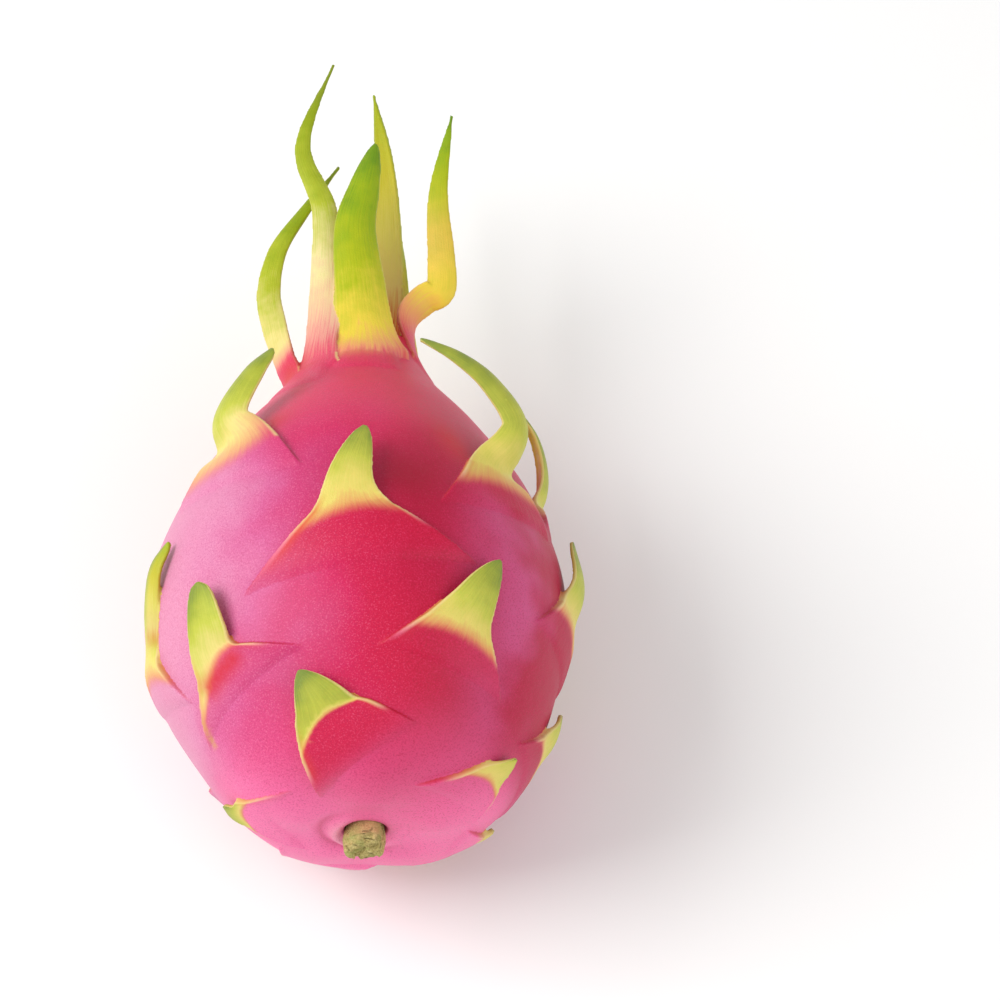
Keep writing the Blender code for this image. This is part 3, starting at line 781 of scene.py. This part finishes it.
def node(tree, kind, inputs=(), **settings):
    """Adds a node with these settings and inputs."""
    made = tree.nodes.new(kind)
    for key, value in settings.items():
        setattr(made, key, value)
    fill(tree, made, dict(inputs))
    return made


def rgb(red, green, blue):
    """A colour given as on a screen, 0 to 255, turned into the linear one that nodes use."""
    linear = [c / 255 / 12.92 if c <= 10 else ((c / 255 + 0.055) / 1.055) ** 2.4 for c in (red, green, blue)]
    return (*linear, 1.0)


def ramp(tree, socket, stops):
    """A colour ramp with these (position, colour) stops."""
    made = node(tree, "ShaderNodeValToRGB", {"Fac": socket})
    band = made.color_ramp
    while len(band.elements) < len(stops):
        band.elements.new(0.5)
    for element, (position, colour) in zip(band.elements, stops):
        element.position = position
        element.color = colour
    return made.outputs["Color"]


def mixed(tree, factor, first, second):
    """Mixes two colours, each a socket or a plain colour, by a factor, a socket or a number."""
    return node(tree, "ShaderNodeMix", {0: factor, 6: first, 7: second}, data_type="RGBA").outputs[2]


def mapped(tree, socket, low, high, to_low=0.0, to_high=1.0, way="SMOOTHSTEP"):
    """Maps a value from one span to another and clamps it, with an even S unless told otherwise."""
    inputs = {"Value": socket, "From Min": low, "From Max": high, "To Min": to_low, "To Max": to_high}
    return node(tree, "ShaderNodeMapRange", inputs, interpolation_type=way).outputs["Result"]


def computed(tree, operation, first, second=0.0):
    """One step of arithmetic on sockets or numbers."""
    return node(tree, "ShaderNodeMath", {0: first, 1: second}, operation=operation).outputs[0]


def bumpy(tree, height, strength, distance):
    """A bump made from a height, as deep as the distance at full strength."""
    inputs = {"Height": height, "Strength": strength, "Distance": distance}
    return node(tree, "ShaderNodeBump", inputs).outputs["Normal"]


def new_look(name):
    """A new material: itself, its node tree and its shader."""
    look = bpy.data.materials.new(name)
    look.use_nodes = True
    return look, look.node_tree, look.node_tree.nodes["Principled BSDF"]


print("pink as the nodes see it:", [round(c, 3) for c in rgb(221, 53, 107)])

# %% [markdown]
# ## Fine grain
# Skin, stem and scar all show a fine grain in the photo. It is made once as a node group that any
# material can use: a speckle for the colour and a height for the bump.

# %% Grain group
grain = bpy.data.node_groups.new("grain", "ShaderNodeTree")
for name, way in (("Fine", "INPUT"), ("Coarse", "INPUT"), ("Speckle", "OUTPUT"), ("Height", "OUTPUT")):
    grain.interface.new_socket(name, in_out=way, socket_type="NodeSocketFloat")
inside = grain.nodes.new("NodeGroupInput").outputs
spots = node(grain, "ShaderNodeTexCoord").outputs["Object"]
in_fine = {"Detail": 3.0, "Roughness": 0.6, "Vector": spots, "Scale": inside["Fine"]}
in_coarse = {"Detail": 2.0, "Vector": spots, "Scale": inside["Coarse"]}
fine = node(grain, "ShaderNodeTexNoise", in_fine).outputs["Fac"]
coarse = node(grain, "ShaderNodeTexNoise", in_coarse).outputs["Fac"]
node(grain, "NodeGroupOutput", {"Speckle": fine, "Height": computed(grain, "ADD", fine, coarse)})


def add_grain(tree, fine_scale, coarse_scale):
    """Places the grain group with its own values."""
    inputs = {"Fine": fine_scale, "Coarse": coarse_scale}
    return node(tree, "ShaderNodeGroup", inputs, node_tree=grain).outputs


print("grain group:", len(grain.nodes), "nodes")

# %% [markdown]
# ## The skin
# Bare skin runs from pale mauve on the left, a painted sheen on the side that the left lamp lights, to
# crimson, darkest at the right end with painted shade, and turns coral towards the crown. A ramp along
# the fruit's width gives that run, a slow noise bends its borders, and the grain adds light and dark
# specks, so no border looks drawn.

# %% Pinks of the skin
skin_look, tree, surface = new_look("waxy_skin")


def mask(name):
    """The socket of one of the masks that the mesh carries."""
    return node(tree, "ShaderNodeAttribute", attribute_name=name).outputs["Fac"]


def times(*factors):
    """Several sockets or numbers multiplied."""
    made = factors[0]
    for factor in factors[1:]:
        made = computed(tree, "MULTIPLY", made, factor)
    return made


spots = node(tree, "ShaderNodeTexCoord").outputs["Object"]
axes = node(tree, "ShaderNodeSeparateXYZ", {"Vector": spots}).outputs
skin_grain = add_grain(tree, 3000.0, 420.0)

# From the painted sheen on the left side to crimson and painted shade on the right one, with the border
# between the two pinks wandering a little
patches = node(tree, "ShaderNodeTexNoise", {"Scale": 30.0, "Detail": 3.0, "Vector": spots}).outputs["Fac"]
wander = computed(tree, "MULTIPLY", computed(tree, "SUBTRACT", patches, 0.5), 0.05)
sheen_left_to_shade_right = mapped(tree, computed(tree, "ADD", axes["X"], wander), -0.040, 0.014, way="LINEAR")
pinks = ramp(tree, sheen_left_to_shade_right, (
    (0.00, rgb(214, 134, 168)), (0.17, rgb(212, 126, 166)), (0.34, rgb(205, 90, 144)),
    (0.50, rgb(200, 54, 112)), (0.66, rgb(203, 24, 94)), (0.82, rgb(196, 12, 72)), (1.00, rgb(178, 10, 60)),
))
far_right = times(mapped(tree, axes["X"], 0.016, 0.038), mapped(tree, patches, 0.42, 0.62))
pinks = mixed(tree, far_right, pinks, rgb(206, 84, 138))
pinks = mixed(tree, mapped(tree, axes["Y"], -0.030, -0.045, 0.0, 0.7), pinks, rgb(219, 82, 136))
# Painted light: the lower front near the stem, which faces down and away from the lamps, is lightened
low_front_painted_light = times(mapped(tree, axes["Y"], -0.036, -0.046), mapped(tree, axes["Z"], 0.074, 0.044))
pinks = mixed(tree, times(low_front_painted_light, 0.9), pinks, rgb(247, 118, 172))
pinks = mixed(tree, mapped(tree, axes["Y"], 0.016, 0.05, 0.0, 0.75), pinks, rgb(222, 44, 88))
pinks = mixed(tree, times(mask("deep"), 0.85), pinks, rgb(198, 10, 58))
# Painted highlight on the raised collar round the stem, and painted shade in the groove outside it
pinks = mixed(tree, times(mask("collar"), 0.7), pinks, rgb(240, 160, 178))
pinks = mixed(tree, times(mask("groove"), 0.45), pinks, rgb(180, 20, 66))
light_speck = mixed(tree, sheen_left_to_shade_right, rgb(240, 176, 208), rgb(226, 60, 112))
dark_speck = mixed(tree, sheen_left_to_shade_right, rgb(190, 70, 126), rgb(160, 2, 44))
pinks = mixed(tree, mapped(tree, skin_grain["Speckle"], 0.50, 0.72, 0.0, 0.36), pinks, light_speck)
pinks = mixed(tree, mapped(tree, skin_grain["Speckle"], 0.52, 0.30, 0.0, 0.48), pinks, dark_speck)
print("pinks:", len(tree.nodes), "nodes")

# %% [markdown]
# ## Veins and greens
# Real veins run along a blade and tint it in streaks. A noise that is stretched along the blade, by the
# places that the points carry, nudges the tone before it goes through the ramps. Scales, crown and
# creamy bracts have a ramp each, as their yellows and greens differ.

# %% Greens of the blades
veins = node(tree, "ShaderNodeCombineXYZ", {"X": mask("aside"), "Y": mask("along")}).outputs[0]
stretched = node(tree, "ShaderNodeMapping", {"Scale": (2.4, 0.10, 1.0), "Vector": veins}).outputs[0]
streaks = node(tree, "ShaderNodeTexNoise", {"Scale": 1.0, "Detail": 3.0, "Vector": stretched}).outputs["Fac"]
streak = computed(tree, "MULTIPLY", computed(tree, "SUBTRACT", streaks, 0.5), 0.26)
streaky = mapped(tree, mask("tone"), 0.02, 0.5, 0.25, 1.0)
streaky = computed(tree, "MAXIMUM", streaky, times(mask("crown"), 0.9))
mottle = node(tree, "ShaderNodeTexNoise", {"Scale": 210.0, "Detail": 3.0, "Vector": spots}).outputs["Fac"]
mottled = times(computed(tree, "SUBTRACT", mottle, 0.5), mapped(tree, mask("tone"), 0.1, 0.45), 0.36)
tone_here = computed(tree, "ADD", mask("tone"), computed(tree, "ADD", times(streak, streaky), mottled))

scale_greens = ramp(tree, tone_here, (
    (0.00, rgb(210, 84, 92)), (0.14, rgb(216, 136, 90)), (0.34, rgb(222, 204, 104)),
    (0.62, rgb(190, 192, 72)), (0.84, rgb(158, 166, 58)), (1.00, rgb(122, 140, 56)),
))
crown_greens = ramp(tree, tone_here, (
    (0.00, rgb(230, 104, 118)), (0.15, rgb(232, 150, 108)), (0.34, rgb(226, 202, 64)),
    (0.62, rgb(172, 182, 12)), (0.84, rgb(142, 168, 10)), (1.00, rgb(104, 142, 14)),
))
creams = ramp(tree, tone_here, (
    (0.00, rgb(222, 96, 116)), (0.14, rgb(226, 160, 142)), (0.36, rgb(230, 216, 152)),
    (0.62, rgb(176, 186, 48)), (0.84, rgb(142, 160, 10)), (1.00, rgb(128, 144, 30)),
))
greens = mixed(tree, mask("crown"), scale_greens, crown_greens)
greens = mixed(tree, mask("cream"), greens, creams)
greens = mixed(tree, times(mask("blush"), 0.4), greens, rgb(226, 166, 92))
outside = mixed(tree, mapped(tree, tone_here, 0.01, 0.20), pinks, greens)
print("pinks and greens:", len(tree.nodes), "nodes")

# %% [markdown]
# ## Margins, pockets and gloss
# A thin cream line marks the margins, a painted highlight down the lit side of the roots, with orange and
# painted shade inside it on some roots. The inner faces, the orange-red pockets with their painted shade,
# the painted shadow beside the largest scale and the red painted shade along one fold get their own
# colours last, so that they cover what lies under them. The gloss is soft, as wax makes it, and a little
# light goes under the skin.

# %% Margins, pockets and gloss
off_middle = computed(tree, "DIVIDE", computed(tree, "ABSOLUTE", mask("aside")), ASIDE_SPAN)
# Orange and painted shade inside the margin of some roots
orange_and_shade_line = times(mapped(tree, off_middle, 0.68, 0.92), mask("orange_and_shade"), 0.7)
outside = mixed(tree, orange_and_shade_line, outside, rgb(214, 64, 40))
# Pale margin line: the blades' cream edge, and a painted highlight down the lit side of the roots
margin = times(mapped(tree, off_middle, 0.87, 0.96), mask("pale_line_and_highlight"))
margin = times(margin, mapped(tree, mask("crown"), 0.0, 1.0, 0.75, 0.2))
margin_colour = mixed(tree, mapped(tree, mask("along"), -6.0, 0.0), rgb(228, 124, 158), rgb(224, 200, 132))
outside = mixed(tree, margin, outside, margin_colour)

inner_greens = ramp(tree, computed(tree, "ADD", mask("share"), streak), (
    (0.00, rgb(178, 16, 20)), (0.20, rgb(196, 84, 24)), (0.34, rgb(212, 190, 112)),
    (0.52, rgb(210, 198, 92)), (0.72, rgb(190, 180, 34)), (1.00, rgb(156, 172, 14)),
))
colour = mixed(tree, mask("inner"), outside, inner_greens)
# Painted shadow beside the largest scale, orange-red pockets that are partly painted shade, and a red painted
# shade along one fold
colour = mixed(tree, times(mask("pocket"), 0.75), colour, rgb(150, 8, 38))
colour = mixed(tree, times(mask("axil_red_and_shade"), 0.9), colour, rgb(198, 34, 26))
colour = mixed(tree, times(mask("crease_red_shade"), 0.85), colour, rgb(200, 26, 40))
colour = mixed(tree, times(mask("dry"), 0.8), colour, rgb(206, 150, 84))

relief = computed(tree, "ADD", skin_grain["Height"], computed(tree, "MULTIPLY", streak, 4.0))
fill(tree, surface, {
    "Base Color": colour, "Normal": bumpy(tree, relief, 0.25, 0.4 * MM),
    "Roughness": mapped(tree, skin_grain["Speckle"], 0.3, 0.7, 0.38, 0.50), "Specular IOR Level": 0.28,
    "Subsurface Weight": 0.06, "Subsurface Radius": (0.004, 0.0012, 0.0012), "Subsurface Scale": 0.6,
})

body.data.materials.clear()
body.data.materials.append(skin_look)
body.data.shade_smooth()
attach(body, "root")
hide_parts("fruit")
print("skin material:", len(tree.nodes), "nodes")

# %% [markdown]
# ## Turned pieces
# The cut stem and the flower scar are short, dry plugs. Both start as a sphere, like the body: its
# rings are laid along a profile, and small formulas then break up the round shape.

# %% Cut stem
STEM_RADIUS = 4.2 * MM
STEM_STANDS_OUT = 4.2 * MM
SCAR_RADIUS = 5.2 * MM
SCAR_HEIGHT = 5.5 * MM
CLEARANCE = 0.3 * MM


def turned(name, profile, sides, rings, roughen):
    """A sphere laid along a profile of (height, radius) points and then roughened."""
    runs = run_lengths(profile)
    bpy.ops.object.select_all(action="DESELECT")
    bpy.ops.mesh.primitive_uv_sphere_add(segments=sides, ring_count=rings, radius=1.0)
    made = bpy.context.object
    made.name = made.data.name = name
    for vert in made.data.vertices:
        vert.co = roughen(*on_profile(vert.co, profile, runs))
    point_outwards()
    made.data.shade_smooth()
    return made


stem_end = stem_rim - STEM_STANDS_OUT
stem_profile = [(stem_floor - CLEARANCE, 0.0), (stem_floor - CLEARANCE, STEM_RADIUS * 0.9),
                (stem_end + 2.4 * MM, STEM_RADIUS), (stem_end + 0.5 * MM, STEM_RADIUS * 0.94),
                (stem_end, STEM_RADIUS * 0.84), (stem_end, 0.0)]


def broken_stem(angle, height, radius):
    """A point of the stem: corners and fibres round its side, and a stepped break at its end."""
    spot = Vector((math.sin(angle), math.cos(angle), height / STEM_RADIUS))
    corners = 0.10 * math.sin(3 * angle + 0.6) - 0.05 * math.cos(5 * angle)
    fibres = 0.035 * noise.noise(Vector((9 * math.sin(angle), 9 * math.cos(angle), height * 200)))
    dents = 0.06 * noise.noise(spot * 1.6)
    rough_round = 1 + corners + fibres + dents
    x, z = math.sin(angle) * radius * rough_round, math.cos(angle) * radius * rough_round
    broken = 1 - smooth(height, stem_end + 0.2 * MM, stem_end + 2.2 * MM)
    stepped = noise.noise(Vector((x, z, 0)) * 420 + Vector((3, 1, 0)))
    ledges = 0.9 * MM * smooth(stepped, -0.1, 0.05) + 0.5 * MM * noise.noise(Vector((x * 700, z * 2600, 5)))
    slant = 0.30 * z + 0.10 * x
    return Vector((x + STEM_LEAN, height + broken * (slant + ledges), z + AXIS_HEIGHT))


stem = turned("cut_stem", stem_profile, 120, 110, broken_stem)
print("stem:", len(stem.data.polygons), "faces")

# %% [markdown]
# ## Dry, cracked stem
# A cut stem dries out: it turns khaki, mossy in places and tan at its top, and short cracks open. A
# Voronoi pattern gives the cracks its cell borders, and a slow noise lets them show in patches only.

# %% Stem material
TAN_TOP = (46.5 * MM, 49.0 * MM)
stem_look, tree, surface = new_look("dry_stem")
spots = node(tree, "ShaderNodeTexCoord").outputs["Object"]
stem_grain = add_grain(tree, 2600.0, 500.0)
khaki = ramp(tree, stem_grain["Speckle"], (
    (0.30, rgb(140, 120, 70)), (0.46, rgb(178, 162, 100)),
    (0.60, rgb(198, 182, 120)), (0.75, rgb(216, 200, 150)),
))
mossy = node(tree, "ShaderNodeTexNoise", {"Scale": 330.0, "Detail": 2.0, "Vector": spots}).outputs["Fac"]
khaki = mixed(tree, mapped(tree, mossy, 0.50, 0.64, 0.0, 0.5), khaki, rgb(160, 166, 92))
axes = node(tree, "ShaderNodeSeparateXYZ", {"Vector": spots}).outputs
upper = mapped(tree, axes["Z"], *TAN_TOP)
khaki = mixed(tree, times(upper, 0.5), khaki, rgb(212, 160, 120))
cells = node(tree, "ShaderNodeTexVoronoi", {"Scale": 300.0, "Vector": spots}, feature="DISTANCE_TO_EDGE")
cracks = mapped(tree, cells.outputs["Distance"], 0.07, 0.01)
coarse_cracks = times(cracks, mapped(tree, mossy, 0.52, 0.42))
khaki = mixed(tree, times(coarse_cracks, 0.55), khaki, rgb(104, 88, 44))
relief = computed(tree, "SUBTRACT", stem_grain["Height"], computed(tree, "MULTIPLY", coarse_cracks, 1.2))
fill(tree, surface, {
    "Base Color": khaki, "Normal": bumpy(tree, relief, 0.7, 0.5 * MM), "Roughness": 0.8,
    "Specular IOR Level": 0.25,
})
stem.data.materials.append(stem_look)
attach(stem, "root")
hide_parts("stem_stub")
print("stem material:", len(tree.nodes), "nodes")

# %% [markdown]
# ## Where the flower was
# The flower dries up between the bracts and leaves a shrivelled brown cup, which the photo hides. Its
# profile goes over the rim and down into the cup, and sines round it give it ribs.

# %% Flower scar
scar_floor = neck_rim - FLOWER_HOLLOW_DEPTH + CLEARANCE
scar_top = scar_floor + SCAR_HEIGHT
scar_profile = [
    (scar_floor, 0.0), (scar_floor, SCAR_RADIUS * 0.9),
    (scar_floor + SCAR_HEIGHT * 0.55, SCAR_RADIUS * 0.95), (scar_top - 0.6 * MM, SCAR_RADIUS * 0.7),
    (scar_top, SCAR_RADIUS * 0.45), (scar_top - 1.4 * MM, 0.0),
]


def dried_flower(angle, height, radius):
    """A point of the scar: shrivelled ribs that run up its side and into its cup."""
    ribs = 1 + 0.06 * math.sin(6 * angle) + 0.035 * math.sin(17 * angle + 0.8)
    shrivel = 0.5 * MM * noise.noise(Vector((3 * math.sin(angle), 3 * math.cos(angle), height * 300)))
    out = (radius + shrivel * smooth(radius, 0.0, 2 * MM)) * ribs
    return Vector((out * math.sin(angle), height, AXIS_HEIGHT + out * math.cos(angle)))


scar = turned("dried_flower", scar_profile, 120, 70, dried_flower)
scar_look, tree, surface = new_look("dry_flower")
scar_grain = add_grain(tree, 2200.0, 600.0)
browns = ramp(tree, scar_grain["Speckle"], (
    (0.30, rgb(62, 40, 22)), (0.50, rgb(112, 78, 42)), (0.72, rgb(158, 122, 72)),
))
ribbed = bumpy(tree, scar_grain["Height"], 0.8, 0.6 * MM)
fill(tree, surface, {"Base Color": browns, "Normal": ribbed, "Roughness": 0.9})
scar.data.materials.append(scar_look)
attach(scar, "root")
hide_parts("flower_scar")
print("scar:", len(scar.data.polygons), "faces")

# %% [markdown]
# ## Floor and light
# A plain, nearly white floor and soft studio light, as for a product picture: a large lamp above on
# the left, a weaker one on the right, and an even sky.

# %% Floor, lamps and sky
FLOOR_SIZE = 6.0
SKY_STRENGTH = 0.62
AIM = Vector((0, 0.02, 0.04))

bpy.ops.object.select_all(action="DESELECT")
bpy.ops.mesh.primitive_plane_add(size=FLOOR_SIZE, location=(0, 0, 0))
floor = bpy.context.object
floor.name = "floor"
floor_look, tree, surface = new_look("pale_floor")
fill(tree, surface, {"Base Color": (0.92, 0.92, 0.92, 1.0), "Roughness": 0.8})
floor.data.materials.append(floor_look)


def lamp(name, spot, size, power, tint):
    """A square area lamp that faces the fruit."""
    facing = (AIM - Vector(spot)).to_track_quat("-Z", "Y").to_euler()
    bpy.ops.object.light_add(type="AREA", location=spot, rotation=facing)
    made = bpy.context.object
    made.name = name
    made.data.size = size
    made.data.energy = power
    made.data.color = tint


lamp("key_lamp", (-0.75, -0.05, 0.80), 0.7, 9.0, (1.0, 0.99, 0.97))
lamp("fill_lamp", (0.80, -0.55, 0.60), 0.9, 3.5, (1.0, 0.98, 0.98))
world = bpy.data.worlds.new("studio")
world.use_nodes = True
sky = world.node_tree.nodes["Background"]
fill(world.node_tree, sky, {"Color": (1.0, 1.0, 1.0, 1.0), "Strength": SKY_STRENGTH})
bpy.context.scene.world = world
